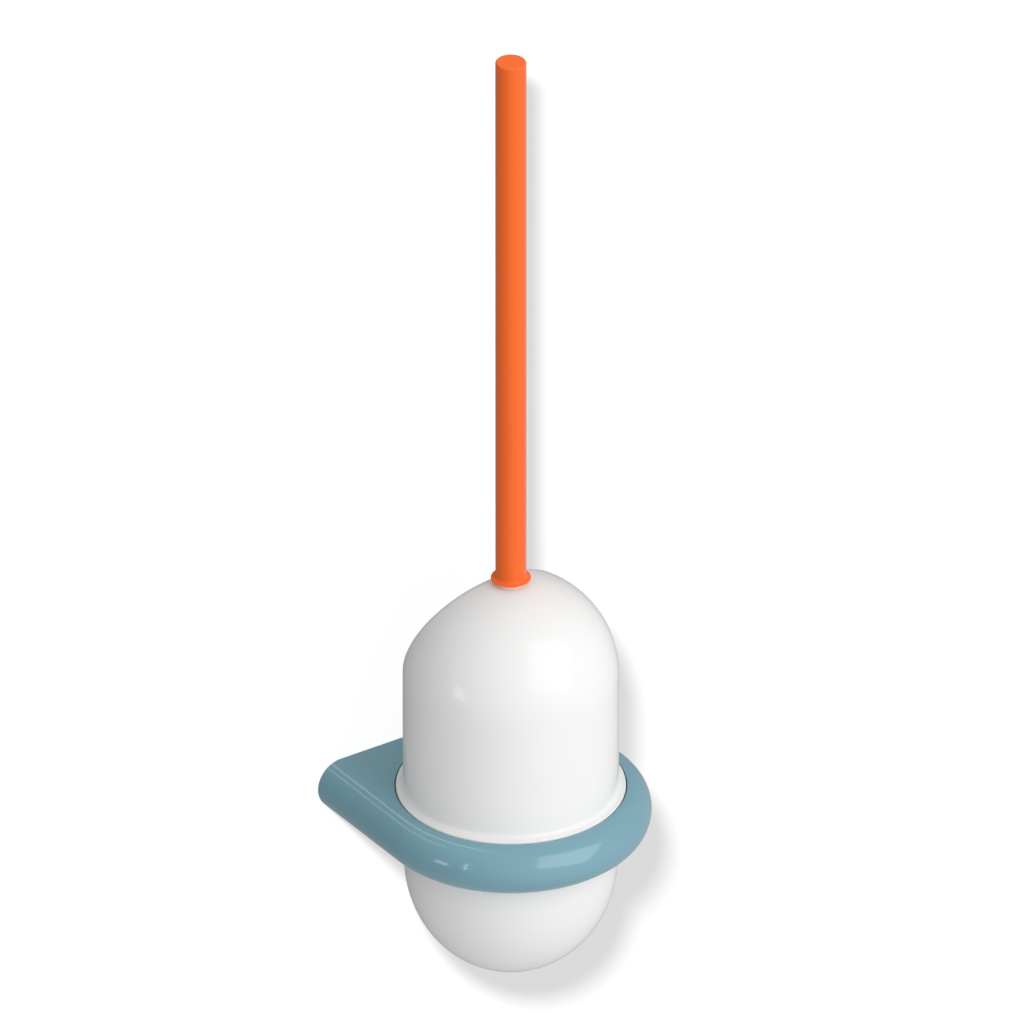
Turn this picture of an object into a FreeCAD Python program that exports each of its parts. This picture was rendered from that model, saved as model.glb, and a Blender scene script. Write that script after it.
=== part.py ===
"""Wall-hung toilet brush set: bracket on a hidden plate, bowl, domed lid and a brush on a long handle.

Frame: origin on the wall, at mid height of the bracket, with +X to the right, +Y into the wall and +Z up.
Sizes are in millimetres. Everything round stands on one upright axis, the brush axis, in front of the wall.
"""

import FreeCAD
import Part
import math
import os

V = FreeCAD.Vector

# ---- driving dimensions ----
AXIS_Y = -60.0  # brush axis, measured from the wall
AXIS = V(0, AXIS_Y, 0)

BRACKET_HEIGHT = 24.0
BRACKET_TOP = BRACKET_HEIGHT / 2
BRACKET_WIDTH = 124.0
EDGE_RADIUS = BRACKET_HEIGHT / 2  # the outer edge is a full round
BORE_TOP_RADIUS = 51.2  # wide upper bore, which takes the bowl's rim and the lid's flange
BORE_LOW_RADIUS = 47.9
LEDGE_Z = 6.7
BORE_BREAK = 0.4  # rounding of the bore's edges

RECESS_WIDTH = 96.0
RECESS_DEPTH = 4.4
RECESS_TOP_AT_WALL = 6.4
RECESS_BOTTOM = -8.4
DOVETAIL_RISE = 1.4  # how far the hooked edge climbs over the plate's thickness
PLATE_WIDTH = 92.0
PLATE_THICKNESS = 4.0
PLATE_EDGE_AT_WALL = 6.2
PLATE_CORNER = 3.0
WALL_HOLE_RADIUS = 2.75
WALL_HOLE_SPACING = 72.0
COUNTERSINK_RADIUS = 5.2
COUNTERSINK_DEPTH = 2.4

GRUB_RADIUS = 2.0
GRUB_Y = -2.6
GRUB_BOTTOM = -11.65
GRUB_LENGTH = 4.0
HEX_FLATS = 2.0
HEX_DEPTH = 1.8

BOWL_RADIUS = 47.1
BOWL_WALL = 2.4
BOWL_ROUND_Z = -25.3  # where the straight side turns into the half ellipsoid
BOWL_DEPTH = 52.2  # upright half axis of the ellipsoid
RIM_RADIUS = 50.8
RIM_BOTTOM = 6.9
RIM_TOP = 9.2
RIM_BREAK = 0.6

LID_RADIUS = 47.6
LID_WALL = 2.2
LID_ROUND_Z = 68.8  # centre of the dome
LID_BOTTOM = 9.4
LID_FLANGE_RADIUS = 50.7
LID_FLANGE_TOP = 12.6
LID_FLANGE_BREAK = 0.7
LID_FLANGE_FILLET = 2.2
FACET_TILT = 26.0  # degrees that the wall-side facet faces above the horizontal
FACET_DISTANCE = 28.6  # from the centre of the dome
FACET_EDGE_RADIUS = 7.0
SPIGOT_RADIUS = 44.2
SPIGOT_WALL = 2.0
SPIGOT_BOTTOM = 4.4
WEB_TOP = 11.4
SEAT_RADIUS = 6.6  # flat spot on the crown that the bush's flange sits on
SEAT_TOP = 116.5
BOSS_RADIUS = 11.0
BOSS_BOTTOM = 105.0

BUSH_RADIUS = 5.7
BUSH_FLANGE_RADIUS = 6.4
BUSH_TOP = 117.6
BUSH_BOTTOM = 98.0
BUSH_NUT_RADIUS = 10.2
BUSH_NUT_HEIGHT = 4.0
BUSH_NUT_FLUTES = 12
BUSH_NUT_FLUTE_RADIUS = 1.2

RUNNING_CLEARANCE = 0.05
SEAT_GAP = 0.2

STEM_RADIUS = 4.6
WASHER_RADIUS = 8.0
WASHER_THICKNESS = 1.2
CLIP_RADIUS = 7.0
CLIP_GROOVE_RADIUS = 3.9
CLIP_THICKNESS = 1.0
CLIP_OPENING = 5.6
CORE_RADIUS = 3.0
CORE_CLEARANCE = 0.05

HANDLE_RADIUS = 6.8
HANDLE_TOP = 379.7
HANDLE_TOP_BREAK = 0.9
HANDLE_END_WALL = 8.0
COLLAR_RADIUS = 8.85
COLLAR_THICKNESS = 0.7

HEAD_CORE_RADIUS = 8.0
HEAD_NECK_RADIUS = 5.8
HEAD_TOP = 12.0
HEAD_BOTTOM = -61.0
HEAD_NECK_HEIGHT = 5.0
INSERT_RADIUS = 5.0
INSERT_LENGTH = 18.0
INSERT_DEPTH = 2.0
CORE_END_GAP = 1.0

BRISTLE_RADIUS = 36.0
BRISTLE_ROWS = 7
BRISTLE_TOP_Z = 1.0
BRISTLE_PITCH = 9.4
BRISTLE_ROOT_THICKNESS = 3.2
BRISTLE_TIP_THICKNESS = 6.4
BRISTLE_WALL_GAP = 5.0  # between a row's lower edge and the bowl, measured level
TIP_TUFT_ROOT = 5.5
TIP_TUFT_RADIUS = 13.0
TIP_TUFT_LENGTH = 7.0

UP = V(0, 0, 1)
FAR = 400.0  # longer than anything here, for cutting tools
CUT_MARGIN = 1.0  # how far a cutting tool reaches past the piece
SAME_POINT = 1e-6
SAME_PLANE = 1e-3


# ---- helpers ----
def at(radius, z):
    """A point of a section through the brush axis."""
    return V(radius, AXIS_Y, z)


def line(a, b):
    return Part.LineSegment(a, b).toShape()


def arc(a, middle, b):
    return Part.Arc(a, middle, b).toShape()


def corner_arc(centre, radius, start, end):
    """An arc of a section, from start to end in degrees above the outward direction."""

    def on(angle):
        turn = math.radians(angle)
        return centre + V(radius * math.cos(turn), 0, radius * math.sin(turn))

    return arc(on(start), on((start + end) / 2), on(end))


def outline(items):
    """A closed wire from points and ready-made edges, joined by straight lines where they don't meet."""
    edges, first, last = [], None, None
    for item in items:
        is_point = isinstance(item, FreeCAD.Vector)
        begin = item if is_point else item.Vertexes[0].Point
        if last is not None and begin.distanceToPoint(last) > SAME_POINT:
            edges.append(line(last, begin))
        if not is_point:
            edges.append(item)
            last = item.Vertexes[-1].Point
        else:
            last = item
        first = begin if first is None else first
    if last.distanceToPoint(first) > SAME_POINT:
        edges.append(line(last, first))
    return Part.Wire(edges)


def turned(items, degrees=360):
    """A solid of revolution about the brush axis, from a section's outline."""
    return Part.Face(outline(items)).revolve(AXIS, UP, degrees)


def rod(radius, low, high):
    return Part.makeCylinder(radius, high - low, V(0, AXIS_Y, low), UP)


def tube(outer, inner, low, high):
    return rod(outer, low, high).cut(rod(inner, low, high))


def save(name, shape):
    if not shape.isValid():
        raise ValueError(name + " is not a valid shape")
    shape.exportStep(os.path.join("parts", name + ".step"))


# ---- bracket and its wall fixing ----
def bracket_section(radius):
    """Half of the ring's section: flat top and bottom, with a full round outer edge."""
    middle = radius - EDGE_RADIUS
    edge = corner_arc(at(middle, 0), EDGE_RADIUS, -90, 90)
    return [at(0, -BRACKET_TOP), edge, at(0, BRACKET_TOP)]


def bracket_body():
    """A D in plan: half a ring at the front, and straight sides back to the wall."""
    half_width = BRACKET_WIDTH / 2
    front = turned(bracket_section(half_width), 180)
    front.rotate(AXIS, UP, 180)
    side = Part.Face(outline(bracket_section(half_width))).extrude(V(0, -AXIS_Y, 0))
    other_side = side.mirror(V(0, 0, 0), V(1, 0, 0))
    return front.fuse([side, other_side]).removeSplitter()


def bore():
    """The stepped hole through the ring, with its upper and lower edges rounded outwards."""
    top = at(BORE_TOP_RADIUS + BORE_BREAK, BRACKET_TOP - BORE_BREAK)
    low = at(BORE_LOW_RADIUS + BORE_BREAK, -BRACKET_TOP + BORE_BREAK)
    return turned(
        [
            at(0, -FAR / 2),
            at(BORE_LOW_RADIUS + BORE_BREAK, -FAR / 2),
            at(BORE_LOW_RADIUS + BORE_BREAK, -BRACKET_TOP),
            corner_arc(low, BORE_BREAK, 270, 180),
            at(BORE_LOW_RADIUS, LEDGE_Z),
            at(BORE_TOP_RADIUS, LEDGE_Z),
            corner_arc(top, BORE_BREAK, 180, 90),
            at(BORE_TOP_RADIUS + BORE_BREAK, FAR / 2),
            at(0, FAR / 2),
        ]
    )


def recess():
    """The pocket in the back that the plate fills. Its top edge hooks over the plate."""
    slope = DOVETAIL_RISE / PLATE_THICKNESS
    corners = [
        V(0, 0, RECESS_BOTTOM),
        V(0, -RECESS_DEPTH, RECESS_BOTTOM),
        V(0, -RECESS_DEPTH, RECESS_TOP_AT_WALL + slope * RECESS_DEPTH),
        V(0, 0, RECESS_TOP_AT_WALL),
    ]
    pocket = Part.Face(outline(corners)).extrude(V(RECESS_WIDTH, 0, 0))
    pocket.translate(V(-RECESS_WIDTH / 2, 0, 0))
    return pocket


def grub_hole():
    return Part.makeCylinder(GRUB_RADIUS, BRACKET_HEIGHT / 2, V(0, GRUB_Y, -BRACKET_HEIGHT / 2), UP)


def wall_bracket():
    body = bracket_body().cut(bore())
    return body.cut(recess()).cut(grub_hole())


def runs_through(edge):
    """Whether an edge crosses the plate from face to face."""
    low, high = edge.BoundBox.YMin, edge.BoundBox.YMax
    return edge.BoundBox.XLength < SAME_PLANE and high - low > PLATE_THICKNESS - SAME_PLANE


def mounting_plate():
    """A steel bar with both long edges sloped like a dovetail, and two countersunk screw holes."""
    front_edge = PLATE_EDGE_AT_WALL + DOVETAIL_RISE
    corners = [
        V(0, 0, -PLATE_EDGE_AT_WALL),
        V(0, -PLATE_THICKNESS, -front_edge),
        V(0, -PLATE_THICKNESS, front_edge),
        V(0, 0, PLATE_EDGE_AT_WALL),
    ]
    bar = Part.Face(outline(corners)).extrude(V(PLATE_WIDTH, 0, 0))
    bar.translate(V(-PLATE_WIDTH / 2, 0, 0))
    bar = bar.makeFillet(PLATE_CORNER, [e for e in bar.Edges if runs_through(e)])
    for x in (-WALL_HOLE_SPACING / 2, WALL_HOLE_SPACING / 2):
        hole = Part.makeCylinder(WALL_HOLE_RADIUS, PLATE_THICKNESS, V(x, 0, 0), V(0, -1, 0))
        sink = Part.makeCone(
            WALL_HOLE_RADIUS,
            COUNTERSINK_RADIUS,
            COUNTERSINK_DEPTH,
            V(x, COUNTERSINK_DEPTH - PLATE_THICKNESS, 0),
            V(0, -1, 0),
        )
        bar = bar.cut(hole).cut(sink)
    return bar


def locking_screw():
    """A grub screw driven up through the bracket's underside against the plate's lower slope."""
    screw = Part.makeCylinder(GRUB_RADIUS, GRUB_LENGTH, V(0, GRUB_Y, GRUB_BOTTOM), UP)
    ring = HEX_FLATS / math.sqrt(3)
    points = [
        V(ring * math.cos(math.radians(a)), GRUB_Y + ring * math.sin(math.radians(a)), GRUB_BOTTOM)
        for a in range(0, 360, 60)
    ]
    socket = Part.Face(Part.makePolygon(points + points[:1])).extrude(V(0, 0, HEX_DEPTH))
    return screw.cut(socket)


# ---- bowl ----
def bowl_solid(radius, depth, top):
    """A straight round side over half an ellipsoid."""
    centre, foot = at(0, BOWL_ROUND_Z), at(0, BOWL_ROUND_Z - depth)
    ellipse = Part.Ellipse(foot, at(radius, BOWL_ROUND_Z), centre)
    quarter = Part.ArcOfEllipse(ellipse, 0, math.pi / 2).toShape()
    return turned([quarter, at(radius, top), at(0, top)])


def container():
    rim = turned(
        [
            at(0, RIM_BOTTOM),
            corner_arc(at(RIM_RADIUS - RIM_BREAK, RIM_BOTTOM + RIM_BREAK), RIM_BREAK, -90, 0),
            corner_arc(at(RIM_RADIUS - RIM_BREAK, RIM_TOP - RIM_BREAK), RIM_BREAK, 0, 90),
            at(0, RIM_TOP),
        ]
    )
    outside = bowl_solid(BOWL_RADIUS, BOWL_DEPTH, RIM_TOP).fuse(rim)
    inside = bowl_solid(BOWL_RADIUS - BOWL_WALL, BOWL_DEPTH - BOWL_WALL, RIM_TOP + BOWL_WALL)
    return outside.cut(inside).removeSplitter()


# ---- lid ----
def dome(radius, facet_distance, edge_radius, bottom):
    """An upright round with a half ball on top, planed off towards the wall by a rounded slanted facet."""
    centre = at(0, LID_ROUND_Z)
    body = turned(
        [at(0, bottom), at(radius, bottom), corner_arc(centre, radius, 0, 90)],
    )
    normal = V(0, math.cos(math.radians(FACET_TILT)), math.sin(math.radians(FACET_TILT)))
    cutter = Part.makeBox(FAR, FAR, FAR, V(-FAR / 2, -FAR / 2, 0))
    cutter.Placement = FreeCAD.Placement(
        centre + normal * facet_distance, FreeCAD.Rotation(UP, normal)
    ).multiply(cutter.Placement)
    body = body.cut(cutter)

    def on_facet(edge):
        middle = edge.valueAt((edge.FirstParameter + edge.LastParameter) / 2)
        points = [v.Point for v in edge.Vertexes] + [middle]
        return all(abs((p - centre).dot(normal) - facet_distance) < SAME_PLANE for p in points)

    return body.makeFillet(edge_radius, [e for e in body.Edges if on_facet(e)])


def lid():
    outside = dome(LID_RADIUS, FACET_DISTANCE, FACET_EDGE_RADIUS, LID_BOTTOM)
    inside = dome(
        LID_RADIUS - LID_WALL, FACET_DISTANCE - LID_WALL, FACET_EDGE_RADIUS - LID_WALL, WEB_TOP
    )
    boss = rod(BOSS_RADIUS, BOSS_BOTTOM, SEAT_TOP).common(outside)
    seat = rod(SEAT_RADIUS, BOSS_BOTTOM, SEAT_TOP)
    fillet_corner = at(LID_RADIUS + LID_FLANGE_FILLET, LID_FLANGE_TOP + LID_FLANGE_FILLET)
    flange = turned(
        [
            at(SPIGOT_RADIUS - SPIGOT_WALL, WEB_TOP),
            at(SPIGOT_RADIUS - SPIGOT_WALL, SPIGOT_BOTTOM),
            at(SPIGOT_RADIUS, SPIGOT_BOTTOM),
            at(SPIGOT_RADIUS, LID_BOTTOM),
            at(LID_FLANGE_RADIUS, LID_BOTTOM),
            corner_arc(
                at(LID_FLANGE_RADIUS - LID_FLANGE_BREAK, LID_FLANGE_TOP - LID_FLANGE_BREAK),
                LID_FLANGE_BREAK,
                0,
                90,
            ),
            corner_arc(fillet_corner, LID_FLANGE_FILLET, 270, 180),
            at(LID_RADIUS - LID_WALL / 2, LID_FLANGE_TOP + LID_FLANGE_FILLET),
            at(LID_RADIUS - LID_WALL / 2, WEB_TOP),
        ]
    )
    shell = outside.fuse(flange).cut(inside).cut(rod(SPIGOT_RADIUS - SPIGOT_WALL, 0, WEB_TOP))
    shell = shell.fuse(boss).fuse(seat)
    return shell.cut(rod(BUSH_RADIUS, BOSS_BOTTOM, SEAT_TOP)).removeSplitter()


def lid_bush():
    """The flanged guide that the brush's stem turns in."""
    body = rod(BUSH_RADIUS, BUSH_BOTTOM, SEAT_TOP).fuse(rod(BUSH_FLANGE_RADIUS, SEAT_TOP, BUSH_TOP))
    return body.cut(rod(STEM_RADIUS + RUNNING_CLEARANCE, BUSH_BOTTOM, BUSH_TOP)).removeSplitter()


def bush_nut():
    """The fluted ring that clamps the bush against the boss inside the lid."""
    low = BOSS_BOTTOM - BUSH_NUT_HEIGHT
    nut = tube(BUSH_NUT_RADIUS, BUSH_RADIUS, low, BOSS_BOTTOM)
    for step in range(BUSH_NUT_FLUTES):
        turn = 2 * math.pi * step / BUSH_NUT_FLUTES
        middle = AXIS + V(math.cos(turn), math.sin(turn), 0) * BUSH_NUT_RADIUS + V(0, 0, low)
        nut = nut.cut(Part.makeCylinder(BUSH_NUT_FLUTE_RADIUS, BUSH_NUT_HEIGHT, middle, UP))
    return nut


# ---- brush ----
COLLAR_BOTTOM = BUSH_TOP + SEAT_GAP
STEM_TOP = COLLAR_BOTTOM
STEM_BOTTOM = HEAD_TOP
WASHER_TOP = BUSH_BOTTOM - SEAT_GAP
CLIP_TOP = WASHER_TOP - WASHER_THICKNESS
CORE_TOP = HANDLE_TOP - HANDLE_END_WALL
INSERT_TOP = HEAD_TOP - INSERT_DEPTH
CORE_BOTTOM = INSERT_TOP - INSERT_LENGTH + CORE_END_GAP


def handle():
    """The long grip, flared into its thin collar, over a blind bore for the steel core."""
    top = at(HANDLE_RADIUS - HANDLE_TOP_BREAK, HANDLE_TOP - HANDLE_TOP_BREAK)
    edge = COLLAR_THICKNESS / 2
    rim = at(COLLAR_RADIUS - edge, COLLAR_BOTTOM + edge)
    flare = COLLAR_RADIUS - edge - HANDLE_RADIUS
    root = at(HANDLE_RADIUS + flare, COLLAR_BOTTOM + COLLAR_THICKNESS + flare)
    body = turned(
        [
            at(0, COLLAR_BOTTOM),
            corner_arc(rim, edge, -90, 90),
            corner_arc(root, flare, 270, 180),
            corner_arc(top, HANDLE_TOP_BREAK, 0, 90),
            at(0, HANDLE_TOP),
        ]
    )
    return body.cut(rod(CORE_RADIUS + CORE_CLEARANCE, COLLAR_BOTTOM, CORE_TOP + CORE_CLEARANCE))


def handle_core():
    """The steel rod that runs from the grip to the brush head."""
    return rod(CORE_RADIUS, CORE_BOTTOM, CORE_TOP)


def stem_sleeve():
    """The tube over the steel core between collar and head, grooved for the retaining clip."""
    body = tube(STEM_RADIUS, CORE_RADIUS + CORE_CLEARANCE, STEM_BOTTOM, STEM_TOP)
    groove = tube(STEM_RADIUS + CUT_MARGIN, CLIP_GROOVE_RADIUS, CLIP_TOP - CLIP_THICKNESS, CLIP_TOP)
    return body.cut(groove)


def lid_washer():
    inner = STEM_RADIUS + RUNNING_CLEARANCE
    return tube(WASHER_RADIUS, inner, WASHER_TOP - WASHER_THICKNESS, WASHER_TOP)


def retaining_clip():
    """The open spring ring in the stem's groove, which carries the lid when the handle is lifted."""
    low = CLIP_TOP - CLIP_THICKNESS
    ring = tube(CLIP_RADIUS, CLIP_GROOVE_RADIUS, low, CLIP_TOP)
    reach = CLIP_RADIUS + CUT_MARGIN
    corner = V(-CLIP_OPENING / 2, AXIS_Y - reach, low)
    mouth = Part.makeBox(CLIP_OPENING, reach, CLIP_THICKNESS, corner)
    return ring.cut(mouth)


def head_core():
    """The moulded spindle of the replaceable head, necked at the top, with a domed foot."""
    neck_z = HEAD_TOP - HEAD_NECK_HEIGHT
    foot = at(0, HEAD_BOTTOM + HEAD_CORE_RADIUS)
    body = turned(
        [
            corner_arc(foot, HEAD_CORE_RADIUS, -90, 0),
            at(HEAD_CORE_RADIUS, neck_z),
            at(HEAD_NECK_RADIUS, HEAD_TOP),
            at(0, HEAD_TOP),
        ]
    )
    socket = rod(INSERT_RADIUS, INSERT_TOP - INSERT_LENGTH, INSERT_TOP)
    mouth = rod(CORE_RADIUS + CORE_CLEARANCE, INSERT_TOP, HEAD_TOP)
    return body.cut(socket).cut(mouth)


def head_insert():
    """The brass insert that the steel core screws into."""
    low = INSERT_TOP - INSERT_LENGTH
    body = rod(INSERT_RADIUS, low, INSERT_TOP)
    return body.cut(rod(CORE_RADIUS, CORE_BOTTOM, INSERT_TOP))


def row_z(row):
    return BRISTLE_TOP_Z - BRISTLE_PITCH * row


def row_radius(row):
    """Rows keep the full radius until the bowl narrows, then follow its inside."""
    low = row_z(row) - BRISTLE_TIP_THICKNESS / 2
    if low > BOWL_ROUND_Z:
        return BRISTLE_RADIUS
    depth = (BOWL_ROUND_Z - low) / (BOWL_DEPTH - BOWL_WALL)
    inside = (BOWL_RADIUS - BOWL_WALL) * math.sqrt(1 - depth**2)
    return min(BRISTLE_RADIUS, inside - BRISTLE_WALL_GAP)


def bristle_row(row):
    """One ring of bristles as a plain solid, thin at the spindle and spread at the tips."""
    z, radius = row_z(row), row_radius(row)
    root, tip = BRISTLE_ROOT_THICKNESS / 2, BRISTLE_TIP_THICKNESS / 2
    return turned(
        [
            at(HEAD_CORE_RADIUS, z - root),
            at(radius, z - tip),
            at(radius, z + tip),
            at(HEAD_CORE_RADIUS, z + root),
        ]
    )


def bristle_tip():
    """The tuft that stands out of the spindle's domed foot, as a plain solid."""
    low = HEAD_BOTTOM - TIP_TUFT_LENGTH
    return turned(
        [at(0, HEAD_BOTTOM), at(TIP_TUFT_ROOT, HEAD_BOTTOM), at(TIP_TUFT_RADIUS, low), at(0, low)]
    )


# ---- all pieces ----
def main():
    os.makedirs("parts", exist_ok=True)
    pieces = {
        "wall_bracket": wall_bracket,
        "mounting_plate": mounting_plate,
        "locking_screw": locking_screw,
        "container": container,
        "lid": lid,
        "lid_bush": lid_bush,
        "bush_nut": bush_nut,
        "handle": handle,
        "handle_core": handle_core,
        "stem_sleeve": stem_sleeve,
        "lid_washer": lid_washer,
        "retaining_clip": retaining_clip,
        "head_core": head_core,
        "head_insert": head_insert,
        "bristle_tip": bristle_tip,
    }
    for name, make in pieces.items():
        save(name, make())
    for row in range(BRISTLE_ROWS):
        save(f"bristle_row_{row + 1}", bristle_row(row))


main()
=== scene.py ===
"""Looks of a wall-hung toilet brush set: glossy shells, steel fixings and a tufted brush head."""

import bpy
import math
import random
from mathutils import Matrix, Vector


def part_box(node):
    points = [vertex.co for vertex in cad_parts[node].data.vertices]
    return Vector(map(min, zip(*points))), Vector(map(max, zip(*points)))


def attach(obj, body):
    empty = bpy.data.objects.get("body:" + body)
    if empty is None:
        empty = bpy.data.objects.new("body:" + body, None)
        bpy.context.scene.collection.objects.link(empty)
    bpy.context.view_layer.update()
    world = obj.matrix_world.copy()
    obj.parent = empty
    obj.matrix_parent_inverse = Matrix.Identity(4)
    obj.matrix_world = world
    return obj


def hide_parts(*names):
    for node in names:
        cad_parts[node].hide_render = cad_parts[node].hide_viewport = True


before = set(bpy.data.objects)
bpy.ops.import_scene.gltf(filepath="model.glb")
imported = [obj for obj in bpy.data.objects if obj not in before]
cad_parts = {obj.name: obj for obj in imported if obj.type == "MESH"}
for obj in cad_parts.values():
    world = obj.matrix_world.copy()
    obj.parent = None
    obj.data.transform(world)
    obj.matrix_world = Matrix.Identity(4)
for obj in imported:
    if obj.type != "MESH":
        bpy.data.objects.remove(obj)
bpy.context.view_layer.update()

bl_info = {
    "name": "Wall Brush Set",
    "version": (1, 0, 0),
    "blender": (4, 5, 0),
    "location": "3D View > Sidebar > Brush Set",
    "description": "Finishes and bristles for a wall-hung toilet brush set",
    "category": "Object",
}

MM = 0.001
PLASTIC_IOR = 1.5
NYLON_IOR = 1.53
BACKDROP_PAINT = 0.12
BACKDROP_GLOW = 0.615
WHITE_LIGHT = (1.0, 1.0, 1.0, 1.0)
BACKDROP_GAP = 0.4 * MM  # between the set's back and the wall
SENSOR_WIDTH = 36.0
SUN_TOWARDS = (-0.785, -1.0, 0.955)

# ---- scales of the fine surface detail, in cycles per metre; three numbers are along X, Y and Z ----
SHADE_DRIFT = 14.0
RUB_HAZE = 45.0
HAZE_STRETCH = (1.0, 1.0, 0.35)
HAIRLINES = (900.0, 900.0, 60.0)
HAIRLINE_CUT = [(0.66, 0.0), (0.74, 1.0)]  # only the peaks of the noise become hairlines
ORANGE_PEEL = 420.0
NYLON_DRIFT = 60.0
TURNING_MARKS = (40.0, 40.0, 2600.0)
METAL_STAIN = 90.0
FILAMENT_FLECK = 900.0
PLATE_LINES = (30.0, 900.0, 2400.0)
SCREW_LINES = (500.0, 500.0, 3000.0)
CLIP_LINES = (800.0, 800.0, 800.0)
CORE_LINES = (900.0, 900.0, 40.0)
INSERT_LINES = (300.0, 300.0, 2500.0)
FINE_RELIEF = 0.02 * MM
NYLON_RELIEF = 0.03 * MM

# ---- how the filaments stand ----
ROOT_DEPTH = 0.9  # where a root lies, as a share of the spindle's radius
UNEVEN_TIPS = 0.9 * MM  # how much shorter than its row a filament may be
SIDE_BOW = 0.9 * MM
UPRIGHT_BOW = 0.7 * MM
DIMMEST_TONE = 0.6
# painted shade: the share below darkens every filament towards its root, deep in the tuft
ROOT_PAINTED_SHADE = 0.55  # share of a filament's own tone that is left at its root
FOOT_TUFTS = 6
FOOT_ROOT_RADIUS = 4.6 * MM
FOOT_ROOT_RISE = 2.5 * MM  # above the top of the CAD tuft
FOOT_DOME = 1.2 * MM
FOOT_UNEVEN = 0.6 * MM
FOOT_BOW = (0.2, 0.9)  # least and most, in millimetres

# ---- places taken from the frame ----
BRACKET_LOW, BRACKET_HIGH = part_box("wall_bracket")
LID_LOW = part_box("lid")[0]
GRIP_LOW, GRIP_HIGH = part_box("handle")
SPINDLE_LOW, SPINDLE_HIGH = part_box("head_core")
WALL_Y = BRACKET_HIGH.y
AXIS = Vector(((GRIP_LOW.x + GRIP_HIGH.x) / 2, (GRIP_LOW.y + GRIP_HIGH.y) / 2, 0))
BRISTLE_ROWS = sorted(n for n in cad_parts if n.startswith("bristle_row_"))


# ---- shader expressions ----
class Wire:
    """A node's output. Arithmetic on it adds Math nodes, so a mask is written as an expression."""

    def __init__(self, maker, socket):
        self.maker = maker
        self.socket = socket

    def math(self, operation, *values):
        return self.maker.node("ShaderNodeMath", {"operation": operation}, dict(enumerate(values)))

    def __add__(self, other):
        return self.math("ADD", self, other)

    def __mul__(self, other):
        return self.math("MULTIPLY", self, other)

    def __pow__(self, other):
        return self.math("POWER", self, other)

    __radd__ = __add__
    __rmul__ = __mul__


class Maker:
    """Adds nodes to one node tree."""

    def __init__(self, tree):
        self.tree = tree
        tree.nodes.clear()

    def node(self, kind, settings=None, inputs=None, output=0):
        made = self.tree.nodes.new(kind)
        for name, value in (settings or {}).items():
            if name == "stops":
                self.set_stops(made, value)
            else:
                setattr(made, name, value)
        for name, value in (inputs or {}).items():
            self.join(made.inputs[name], value)
        return Wire(self, made.outputs[output]) if made.outputs else None

    def set_stops(self, ramp, stops):
        elements = ramp.color_ramp.elements
        while len(elements) < len(stops):
            elements.new(1.0)
        for element, (position, value) in zip(elements, stops):
            element.position = position
            element.color = (value, value, value, 1.0)

    def join(self, socket, value):
        if isinstance(value, Wire):
            self.tree.links.new(value.socket, socket)
        else:
            socket.default_value = value

    def noise(self, where, scale, detail=2.0, roughness=0.5):
        inputs = {"Vector": where, "Scale": scale, "Detail": detail, "Roughness": roughness}
        return self.node("ShaderNodeTexNoise", {}, inputs)

    def stretched(self, where, stretch):
        inputs = {0: where, 1: stretch}
        return self.node("ShaderNodeVectorMath", {"operation": "MULTIPLY"}, inputs)

    def ramp(self, value, stops):
        return self.node("ShaderNodeValToRGB", {"stops": stops}, {"Fac": value})

    def mix_colour(self, share, first, second):
        inputs = {0: share, 6: first, 7: second}
        return self.node("ShaderNodeMix", {"data_type": "RGBA"}, inputs, output=2)

    def place(self):
        return self.node("ShaderNodeTexCoord", output="Object")

    def bump(self, height, strength, distance):
        return self.node(
            "ShaderNodeBump", {}, {"Strength": strength, "Distance": distance, "Height": height}
        )

    def surface(self, inputs):
        shader = self.node("ShaderNodeBsdfPrincipled", {}, inputs)
        self.node("ShaderNodeOutputMaterial", {}, {"Surface": shader})


def rgba(colour, factor=1.0):
    return (*(c * factor for c in colour), 1.0)


def new_material(name):
    material = bpy.data.materials.new(name)
    material.use_nodes = True
    return material, Maker(material.node_tree)


def gloss_plastic(name, colour, roughness, tint_change=0.05, peel=0.25, shine=0.5, tinted=0.6):
    """Polished injection moulding: faint shade drift, hand-rub haze, fine hairlines and orange peel.

    The highlights take on the plastic's own colour as far as tinted says.
    """
    material, m = new_material(name)
    place = m.place()
    drift = m.noise(place, SHADE_DRIFT, detail=3.0)
    haze = m.noise(m.stretched(place, HAZE_STRETCH), RUB_HAZE, detail=5.0, roughness=0.6)
    hairline = m.noise(m.stretched(place, HAIRLINES), 1.0)
    scratch = m.ramp(hairline, HAIRLINE_CUT)
    ripple = m.noise(place, ORANGE_PEEL)
    shade = m.mix_colour(drift, rgba(colour, 1 - tint_change), rgba(colour, 1 + tint_change))
    rough = roughness * (0.8 + 0.45 * haze) + scratch * 0.05
    peak = max(colour)
    m.surface(
        {
            "Base Color": shade,
            "Roughness": rough,
            "Normal": m.bump(ripple + scratch * 0.35, peel, FINE_RELIEF),
            "IOR": PLASTIC_IOR,
            "Specular IOR Level": shine,
            "Specular Tint": rgba(1 - tinted + tinted * c / peak for c in colour),
        }
    )
    return material


def satin_nylon(name, colour):
    """Machined or moulded nylon with turning marks round the axis."""
    material, m = new_material(name)
    place = m.place()
    drift = m.noise(place, NYLON_DRIFT, detail=4.0)
    rings = m.noise(m.stretched(place, TURNING_MARKS), 1.0)
    shade = m.mix_colour(drift, rgba(colour, 0.92), rgba(colour, 1.06))
    m.surface(
        {
            "Base Color": shade,
            "Roughness": 0.34 + 0.18 * rings,
            "Normal": m.bump(rings, 0.3, NYLON_RELIEF),
            "IOR": NYLON_IOR,
        }
    )
    return material


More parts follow.
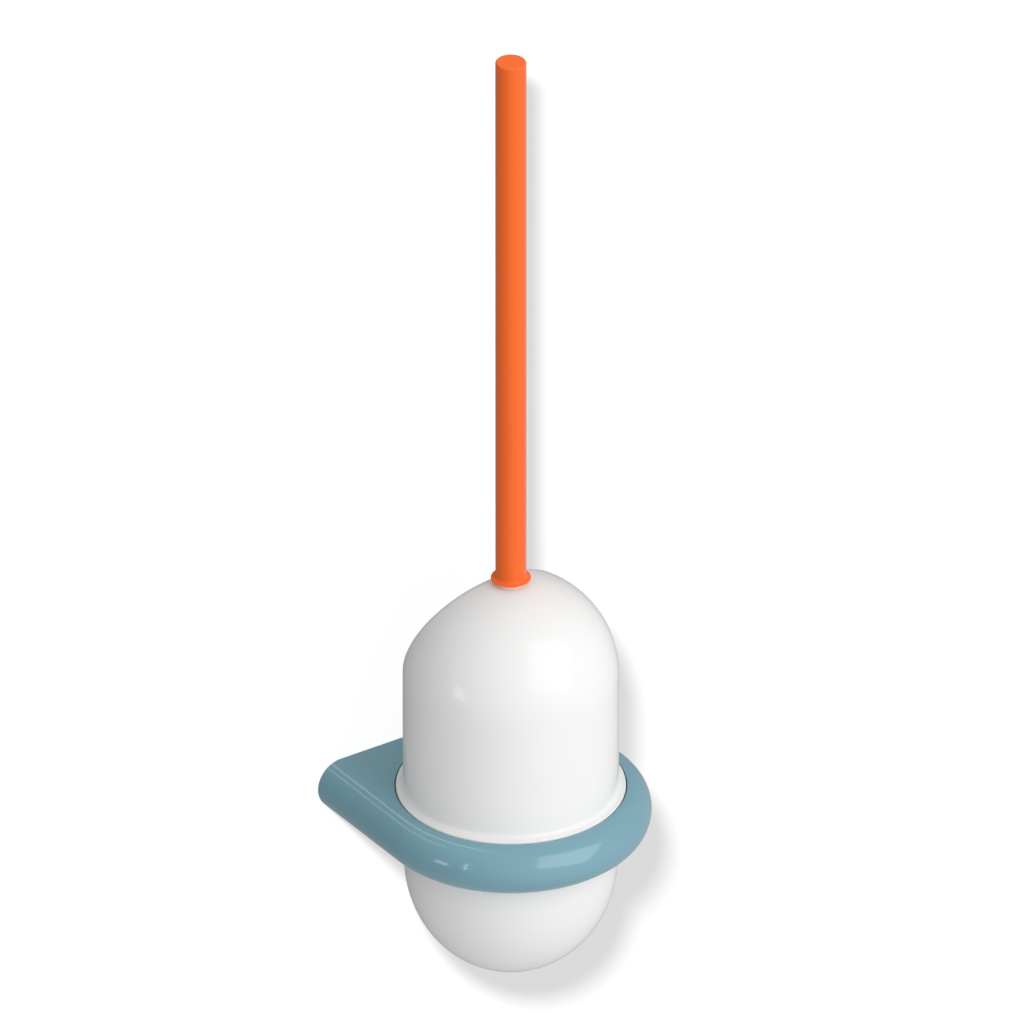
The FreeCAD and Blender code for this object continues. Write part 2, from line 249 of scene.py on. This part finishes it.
def brushed_metal(name, colour, stretch, roughness):
    """Stainless steel or brass with fine drawn lines along one direction and light stains."""
    material, m = new_material(name)
    place = m.place()
    lines = m.noise(m.stretched(place, stretch), 1.0, detail=3.0, roughness=0.7)
    stain = m.noise(place, METAL_STAIN, detail=4.0)
    shade = m.mix_colour(stain, rgba(colour, 0.86), rgba(colour, 1.05))
    m.surface(
        {
            "Base Color": shade,
            "Metallic": 1.0,
            "Roughness": roughness * (0.75 + 0.5 * lines) + stain * 0.06,
            "Normal": m.bump(lines, 0.25, FINE_RELIEF),
        }
    )
    return material


def bristle_nylon(name, colour):
    """Nylon filament, each a little different in tone, and darkened towards its root by painted shade.
    """
    material, m = new_material(name)
    place = m.place()
    # the tone attribute holds each filament's random tone together with its painted root shade
    tone = m.node("ShaderNodeAttribute", {"attribute_name": "tone"}, output="Fac")
    fleck = m.noise(place, FILAMENT_FLECK)
    shade = m.mix_colour(tone, rgba(colour, 0.72), rgba(colour, 1.06))
    m.surface(
        {
            "Base Color": shade,
            "Roughness": 0.3 + 0.2 * fleck,
            "Normal": m.bump(fleck, 0.3, NYLON_RELIEF),
            "IOR": NYLON_IOR,
            "Sheen Weight": 0.2,
        }
    )
    return material


def dress(node, material):
    """Gives a CAD node its finish in every material slot."""
    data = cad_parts[node].data
    data.materials.clear()
    data.materials.append(material)


# ---- settings ----
def colour_setting(name, description, default):
    return bpy.props.FloatVectorProperty(
        name=name, description=description, subtype="COLOR", size=3, min=0.0, max=1.0, default=default
    )


def length_setting(name, description, default):
    return bpy.props.FloatProperty(
        name=name, description=description, unit="LENGTH", min=0.0, default=default
    )


class BrushSetFinishes(bpy.types.PropertyGroup):
    """Colours and gloss of the mouldings and metal."""

    bracket: colour_setting("Bracket", "Blue-grey of the ring bracket", (0.185, 0.378, 0.46))
    white: colour_setting("White", "Bowl, lid and stem", (0.905, 0.905, 0.9))
    grip: colour_setting("Grip", "Orange of the long grip", (0.98, 0.158, 0.026))
    nylon: colour_setting("Nylon", "Guide bush, ring nut and washer", (0.8, 0.8, 0.78))
    bristle: colour_setting("Bristle", "Filaments of the head", (0.86, 0.87, 0.87))
    steel: colour_setting("Steel", "Plate, screw, clip and core", (0.6, 0.6, 0.61))
    brass: colour_setting("Brass", "Threaded insert", (0.72, 0.52, 0.22))
    gloss: bpy.props.FloatProperty(
        name="Gloss roughness", description="Roughness of the polished mouldings", min=0.0, max=1.0,
        subtype="FACTOR", default=0.11,
    )


class BrushSetBristles(bpy.types.PropertyGroup):
    """Sizes of the tufted head."""

    filament: length_setting("Filament", "Thickness of one filament", 0.5 * MM)
    hole: length_setting("Tuft hole", "Width of the hole that a tuft stands in", 2.6 * MM)
    pitch: length_setting("Tuft pitch", "Distance between tufts round the spindle", 3.3 * MM)
    spread: length_setting("Spread", "How far a tuft opens sideways at its tips", 6.0 * MM)
    per_tuft: bpy.props.IntProperty(
        name="Filaments per tuft", description="How many filaments stand in one hole", min=3, default=26
    )
    seed: bpy.props.IntProperty(name="Seed", description="Which random layout is used", default=7)


class BrushSetStage(bpy.types.PropertyGroup):
    """Backdrop and camera."""

    azimuth: bpy.props.FloatProperty(
        name="Azimuth", description="Where the camera stands round the set", subtype="ANGLE",
        default=math.radians(-34.0),
    )
    elevation: bpy.props.FloatProperty(
        name="Elevation", description="How far the camera looks down", subtype="ANGLE",
        default=math.radians(30.7),
    )
    framed: length_setting("Framed span", "Width of the picture at the set", 0.4506)
    aim_up: length_setting("Aim height", "Picture centre above the bracket's top", 0.1198)
    aim_right: length_setting("Aim shift", "Picture centre right of the grip", 0.0005)
    lens: bpy.props.FloatProperty(
        name="Lens", description="Focal length, long for a nearly parallel view", unit="CAMERA",
        default=1600.0,
    )
    floor_drop: length_setting("Floor drop", "How far the floor lies under the bracket", 0.4)
    reach: length_setting("Backdrop size", "Half width of wall and floor", 6.0)


# ---- pieces ----
class BRUSHSET_OT_bracket(bpy.types.Operator):
    """Finish the ring bracket in polished blue-grey plastic"""

    bl_idname = "brushset.bracket"
    bl_label = "Bracket"

    def execute(self, context):
        finishes = context.scene.brushset_finishes
        blue = gloss_plastic("bracket_plastic", finishes.bracket, finishes.gloss, shine=0.75, tinted=0.0)
        dress("wall_bracket", blue)
        return {"FINISHED"}


class BRUSHSET_OT_fixings(bpy.types.Operator):
    """Finish the wall plate and its locking screw in drawn steel"""

    bl_idname = "brushset.fixings"
    bl_label = "Wall fixings"

    def execute(self, context):
        steel = context.scene.brushset_finishes.steel
        dress("mounting_plate", brushed_metal("plate_steel", steel, PLATE_LINES, 0.3))
        dress("locking_screw", brushed_metal("screw_steel", steel, SCREW_LINES, 0.24))
        return {"FINISHED"}


class BRUSHSET_OT_shells(bpy.types.Operator):
    """Finish the bowl and the lid in polished white plastic"""

    bl_idname = "brushset.shells"
    bl_label = "Bowl and lid"

    def execute(self, context):
        finishes = context.scene.brushset_finishes
        white = gloss_plastic(
            "white_plastic", finishes.white, finishes.gloss, tint_change=0.015, shine=0.35
        )
        dress("container", white)
        dress("lid", white)
        return {"FINISHED"}


class BRUSHSET_OT_guide(bpy.types.Operator):
    """Finish the lid's guide bush, ring nut, washer and retaining clip"""

    bl_idname = "brushset.guide"
    bl_label = "Lid guide"

    def execute(self, context):
        finishes = context.scene.brushset_finishes
        nylon = satin_nylon("guide_nylon", finishes.nylon)
        for node in ("lid_bush", "bush_nut", "lid_washer"):
            dress(node, nylon)
        dress("retaining_clip", brushed_metal("clip_steel", finishes.steel, CLIP_LINES, 0.22))
        return {"FINISHED"}


class BRUSHSET_OT_grip(bpy.types.Operator):
    """Finish the long grip in polished orange plastic"""

    bl_idname = "brushset.grip"
    bl_label = "Grip"

    def execute(self, context):
        finishes = context.scene.brushset_finishes
        orange = gloss_plastic(
            "grip_plastic", finishes.grip, finishes.gloss, tint_change=0.03, shine=0.4
        )
        dress("handle", orange)
        return {"FINISHED"}


class BRUSHSET_OT_stem(bpy.types.Operator):
    """Finish the stem, the steel core, the spindle and its insert"""

    bl_idname = "brushset.stem"
    bl_label = "Stem and spindle"

    def execute(self, context):
        finishes = context.scene.brushset_finishes
        white = gloss_plastic("stem_plastic", finishes.white, finishes.gloss * 1.6, tint_change=0.02)
        dress("stem_sleeve", white)
        dress("head_core", white)
        dress("handle_core", brushed_metal("core_steel", finishes.steel, CORE_LINES, 0.26))
        dress("head_insert", brushed_metal("insert_brass", finishes.brass, INSERT_LINES, 0.28))
        return {"FINISHED"}


class TuftMesh:
    """Collects filaments as three-sided tubes, then makes one mesh of them."""

    SIDES = 3

    def __init__(self):
        self.points, self.faces, self.tones_and_root_shade = [], [], []

    def filament(self, line, thickness, tone):
        start = len(self.points)
        direction = (line[-1] - line[0]).normalized()
        side = direction.orthogonal().normalized()
        other = direction.cross(side)
        for step, point in enumerate(line):
            # painted shade: each filament darkens towards its root, where the tuft shades it
            shade = tone * (ROOT_PAINTED_SHADE + (1 - ROOT_PAINTED_SHADE) * step / (len(line) - 1))
            for k in range(self.SIDES):
                turn = 2 * math.pi * k / self.SIDES
                offset = side * math.cos(turn) + other * math.sin(turn)
                self.points.append(point + offset * thickness / 2)
                self.tones_and_root_shade.append(shade)
        for ring in range(len(line) - 1):
            low = start + ring * self.SIDES
            for k in range(self.SIDES):
                after = (k + 1) % self.SIDES
                self.faces.append((low + k, low + after, low + self.SIDES + after, low + self.SIDES + k))
        last = len(self.points) - self.SIDES
        self.faces.append(tuple(range(last, last + self.SIDES)))
        self.faces.append(tuple(reversed(range(start, start + self.SIDES))))

    def piece(self, name, material):
        mesh = bpy.data.meshes.new(name)
        mesh.from_pydata(self.points, [], self.faces)
        # the tone attribute holds each filament's random tone together with its painted root shade
        tone = mesh.attributes.new("tone", "FLOAT", "POINT")
        tone.data.foreach_set("value", self.tones_and_root_shade)
        mesh.materials.append(material)
        mesh.polygons.foreach_set("use_smooth", [len(p.vertices) > self.SIDES for p in mesh.polygons])
        mesh.update()
        made = bpy.data.objects.new(name, mesh)
        bpy.context.scene.collection.objects.link(made)
        return made


def bent_line(root, tip, bow, steps=4):
    """A gently bowed line of points from root to tip."""
    line = []
    for i in range(steps + 1):
        share = i / steps
        line.append(root.lerp(tip, share) + bow * math.sin(math.pi * share))
    return line


def random_disc(rng, radius):
    """A point spread evenly over a disc, as two numbers."""
    reach, turn = radius * math.sqrt(rng.random()), rng.uniform(0, 2 * math.pi)
    return reach * math.cos(turn), reach * math.sin(turn)


class BRUSHSET_OT_bristles(bpy.types.Operator):
    """Replace the plain bristle rings with tufts of separate filaments"""

    bl_idname = "brushset.bristles"
    bl_label = "Bristles"

    def execute(self, context):
        sizes = context.scene.brushset_bristles
        nylon = bristle_nylon("bristle_nylon", context.scene.brushset_finishes.bristle)
        rng = random.Random(sizes.seed)
        spindle = (SPINDLE_HIGH.x - SPINDLE_LOW.x) / 2
        for index, node in enumerate(BRISTLE_ROWS):
            self.row(sizes, rng, nylon, spindle, index, node)
        self.foot(sizes, rng, nylon)
        return {"FINISHED"}

    def place(self, piece, node):
        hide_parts(node)
        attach(piece, "brush")

    def row(self, sizes, rng, nylon, spindle, index, node):
        low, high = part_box(node)
        middle, reach = (low.z + high.z) / 2, (high.x - low.x) / 2
        rise = (high.z - low.z) / 2 - sizes.filament
        tufts = round(2 * math.pi * spindle / sizes.pitch)
        made = TuftMesh()
        for tuft in range(tufts):
            turn = 2 * math.pi * (tuft + 0.5 * (index % 2)) / tufts
            out = Vector((math.cos(turn), math.sin(turn), 0))
            across = Vector((-out.y, out.x, 0))
            centre = AXIS + Vector((0, 0, middle))
            for _ in range(sizes.per_tuft):
                a, b = random_disc(rng, 1.0)
                spot = (across * a + Vector((0, 0, b))) * sizes.hole / 2
                root = centre + out * spindle * ROOT_DEPTH + spot
                side = across * a * sizes.spread + Vector((0, 0, b * rise))
                length = reach - sizes.filament - rng.random() * UNEVEN_TIPS
                flat = (out * length + side).to_2d().normalized() * length
                tip = centre + Vector((flat.x, flat.y, side.z))
                bow = across * rng.uniform(-SIDE_BOW, SIDE_BOW)
                bow += Vector((0, 0, rng.uniform(-UPRIGHT_BOW, UPRIGHT_BOW)))
                made.filament(bent_line(root, tip, bow), sizes.filament, rng.uniform(DIMMEST_TONE, 1.0))
        self.place(made.piece("tufts_" + node.rsplit("_", 1)[1], nylon), node)

    def foot(self, sizes, rng, nylon):
        low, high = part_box("bristle_tip")
        reach = (high.x - low.x) / 2 - sizes.filament
        root_z = high.z + FOOT_ROOT_RISE
        made = TuftMesh()
        for _ in range(sizes.per_tuft * FOOT_TUFTS):
            a, b = random_disc(rng, 1.0)
            root = AXIS + Vector((a * FOOT_ROOT_RADIUS, b * FOOT_ROOT_RADIUS, root_z))
            deep = low.z + sizes.filament + FOOT_DOME * (a * a + b * b) + rng.random() * FOOT_UNEVEN
            tip = AXIS + Vector((a * reach, b * reach, deep))
            bow = Vector((a, b, 0)) * rng.uniform(*FOOT_BOW) * MM
            made.filament(bent_line(root, tip, bow), sizes.filament, rng.uniform(DIMMEST_TONE, 1.0))
        self.place(made.piece("tufts_foot", nylon), "bristle_tip")


# ---- stage ----
def camera_axes(azimuth, elevation):
    """Right, up and backward directions of a camera that stands round the set."""
    sa, ca = math.sin(azimuth), math.cos(azimuth)
    se, ce = math.sin(elevation), math.cos(elevation)
    return Vector((ca, sa, 0)), Vector((-sa * se, ca * se, ce)), Vector((sa * ce, -ca * ce, se))


def backdrop_material(name):
    """Pale, mostly self-lit, and clear from behind, so that the set shows from all sides."""
    material, m = new_material(name)
    paint = m.node("ShaderNodeBsdfDiffuse", {}, {"Color": rgba([BACKDROP_PAINT] * 3)})
    glow = m.node("ShaderNodeEmission", {}, {"Color": WHITE_LIGHT, "Strength": BACKDROP_GLOW})
    both = m.node("ShaderNodeAddShader", {}, {0: paint, 1: glow})
    clear = m.node("ShaderNodeBsdfTransparent")
    behind = m.node("ShaderNodeNewGeometry", output="Backfacing")
    shown = m.node("ShaderNodeMixShader", {}, {0: behind, 1: both, 2: clear})
    m.node("ShaderNodeOutputMaterial", {}, {"Surface": shown})
    return material


def sheet_object(name, corners, material):
    mesh = bpy.data.meshes.new(name)
    mesh.from_pydata(corners, [], [(0, 1, 2, 3)])
    mesh.materials.append(material)
    made = bpy.data.objects.new(name, mesh)
    bpy.context.scene.collection.objects.link(made)
    return made


def soft_box(name, towards, along, distance, length, width, radiance):
    """A rectangular lamp that stands off the set in one direction and is long along another."""
    target = Vector((AXIS.x, AXIS.y, LID_LOW.z))
    direction = Vector(towards).normalized()
    across = direction.cross(Vector(along)).normalized()
    data = bpy.data.lights.new(name, "AREA")
    data.shape, data.size, data.size_y = "RECTANGLE", length, width
    data.energy = radiance * math.pi * length * width
    lamp = bpy.data.objects.new(name, data)
    bpy.context.scene.collection.objects.link(lamp)
    turn = Matrix((across.cross(direction), across, direction)).transposed().to_4x4()
    lamp.matrix_world = Matrix.Translation(target + direction * distance) @ turn
    return lamp


def light_except(lamp, skip):
    """The lamp lights everything but the objects in skip."""
    left_out = bpy.data.collections.new(lamp.name + "_leaves_out")
    for item in skip:
        left_out.objects.link(item)
    for entry in left_out.collection_objects:
        entry.light_linking.link_state = "EXCLUDE"
    lamp.light_linking.receiver_collection = left_out


def light_only(lamp, items):
    """The lamp lights nothing but the objects in items."""
    chosen = bpy.data.collections.new(lamp.name + "_lights")
    for item in items:
        chosen.objects.link(item)
    lamp.light_linking.receiver_collection = chosen


def studio_world(right, left, back, front, top, bottom):
    """Soft light all round, given as how bright it is on each side of the set."""
    world = bpy.data.worlds.new("studio")
    bpy.context.scene.world = world
    world.use_nodes = True
    m = Maker(world.node_tree)
    direction = m.node("ShaderNodeTexCoord", output="Generated")
    total = 0.0
    for axis, (high_side, low_side) in enumerate(((right, left), (back, front), (top, bottom))):
        part = m.node("ShaderNodeSeparateXYZ", {}, {"Vector": direction}, output=axis)
        ahead = part.math("MAXIMUM", part, 0.0) ** 2.0
        behind = part.math("MINIMUM", part, 0.0) ** 2.0
        total = total + ahead * high_side + behind * low_side
    glow = m.node("ShaderNodeBackground", {}, {"Color": WHITE_LIGHT, "Strength": total})
    m.node("ShaderNodeOutputWorld", {}, {"Surface": glow})


class BRUSHSET_OT_stage(bpy.types.Operator):
    """Put up the pale wall and floor, the soft light and the camera"""

    bl_idname = "brushset.stage"
    bl_label = "Stage"

    def execute(self, context):
        stage = context.scene.brushset_stage
        context.scene.view_settings.view_transform = "Standard"
        self.backdrop(stage)
        self.lamps()
        self.camera(context, stage)
        return {"FINISHED"}

    def backdrop(self, stage):
        paint = backdrop_material("backdrop_paint")
        r, y, z = stage.reach, WALL_Y + BACKDROP_GAP, BRACKET_LOW.z - stage.floor_drop
        wall = sheet_object("wall", [(-r, y, z), (r, y, z), (r, y, r), (-r, y, r)], paint)
        floor = sheet_object("floor", [(-r, -r, z), (r, -r, z), (r, r, z), (-r, r, z)], paint)
        for item in (wall, floor):
            item.visible_glossy = False
            item.visible_diffuse = False
            item.visible_shadow = False
        self.backdrops = [wall, floor]

    def lamps(self):
        self.sun()
        level, upright, slanted = (0.0, 1.0, 0.0), (0.0, 0.0, 1.0), (0.95, -0.04, -0.32)
        front = soft_box(
            "front_box", (0.24, -0.83, 0.51), along=slanted, distance=2.0, length=1.7, width=1.9,
            radiance=1.5,
        )
        spark = soft_box(
            "left_spark", (-1.0, -0.03, 0.03), along=upright, distance=1.5, length=0.3, width=0.3,
            radiance=2.6,
        )
        for box in (front, spark):
            light_except(box, self.backdrops)
        strips = (
            soft_box(
                "left_strip", (-0.90, -0.35, 0.17), along=upright, distance=1.5, length=0.7, width=0.04,
                radiance=6.0,
            ),
            soft_box(
                "high_strip", (-0.10, 0.57, 0.82), along=level, distance=2.0, length=2.4, width=0.14,
                radiance=1.8,
            ),
            soft_box(
                "low_strip", (-0.41, 0.58, 0.70), along=level, distance=2.0, length=1.6, width=0.12,
                radiance=1.5,
            ),
        )
        for strip in strips:
            light_only(strip, [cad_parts["wall_bracket"]])
        fill = soft_box(
            "left_fill", (-1.0, -0.1, 0.2), along=upright, distance=1.5, length=1.2, width=1.2,
            radiance=0.25,
        )
        light_only(fill, [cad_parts["container"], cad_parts["lid"]])
        top = soft_box(
            "top_box", (0.1, 0.1, 1.0), along=level, distance=2.0, length=1.2, width=1.2,
            radiance=1.55,
        )
        light_only(top, [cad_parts["handle"]])
        studio_world(right=0.56, left=0.34, back=0.12, front=0.94, top=0.79, bottom=0.60)

    def sun(self):
        """Casts the set's shadow on the wall and floor, and lights nothing else."""
        data = bpy.data.lights.new("shadow_sun", "SUN")
        data.energy, data.angle = 13.4, math.radians(4.6)
        lamp = bpy.data.objects.new("shadow_sun", data)
        bpy.context.scene.collection.objects.link(lamp)
        lamp.rotation_mode = "QUATERNION"
        lamp.rotation_quaternion = Vector(SUN_TOWARDS).to_track_quat("Z", "Y")
        light_only(lamp, self.backdrops)

    def camera(self, context, stage):
        right, up, back = camera_axes(stage.azimuth, stage.elevation)
        aim = Vector((AXIS.x, AXIS.y, BRACKET_HIGH.z)) + right * stage.aim_right + up * stage.aim_up
        data = bpy.data.cameras.new("camera")
        data.lens, data.sensor_width = stage.lens, SENSOR_WIDTH
        distance = stage.framed * stage.lens / data.sensor_width
        data.clip_start, data.clip_end = 0.1, 4 * distance
        made = bpy.data.objects.new("camera", data)
        context.scene.collection.objects.link(made)
        turn = Matrix((right, up, back)).transposed().to_4x4()
        made.matrix_world = Matrix.Translation(aim + back * distance) @ turn
        context.scene.camera = made


class BRUSHSET_PT_panel(bpy.types.Panel):
    """Lists the set's pieces and their settings"""

    bl_idname = "BRUSHSET_PT_panel"
    bl_label = "Brush Set"
    bl_space_type = "VIEW_3D"
    bl_region_type = "UI"
    bl_category = "Brush Set"

    def draw(self, context):
        for operator in OPERATORS:
            self.layout.operator(operator.bl_idname)
        for name in SETTINGS:
            group = getattr(context.scene, name)
            for key in group.bl_rna.properties.keys():
                if key not in ("rna_type", "name"):
                    self.layout.prop(group, key)


OPERATORS = (
    BRUSHSET_OT_bracket,
    BRUSHSET_OT_fixings,
    BRUSHSET_OT_shells,
    BRUSHSET_OT_guide,
    BRUSHSET_OT_grip,
    BRUSHSET_OT_stem,
    BRUSHSET_OT_bristles,
    BRUSHSET_OT_stage,
)
SETTINGS = {
    "brushset_finishes": BrushSetFinishes,
    "brushset_bristles": BrushSetBristles,
    "brushset_stage": BrushSetStage,
}


def register():
    for cls in (*SETTINGS.values(), *OPERATORS, BRUSHSET_PT_panel):
        bpy.utils.register_class(cls)
    for name, group in SETTINGS.items():
        setattr(bpy.types.Scene, name, bpy.props.PointerProperty(type=group))


def unregister():
    for name in SETTINGS:
        delattr(bpy.types.Scene, name)
    for cls in reversed((*SETTINGS.values(), *OPERATORS, BRUSHSET_PT_panel)):
        bpy.utils.unregister_class(cls)


def main():
    register()
    bpy.ops.brushset.bracket()
    bpy.ops.brushset.fixings()
    bpy.ops.brushset.shells()
    bpy.ops.brushset.guide()
    bpy.ops.brushset.grip()
    bpy.ops.brushset.stem()
    bpy.ops.brushset.bristles()
    bpy.ops.brushset.stage()


if __name__ == "__main__":
    main()
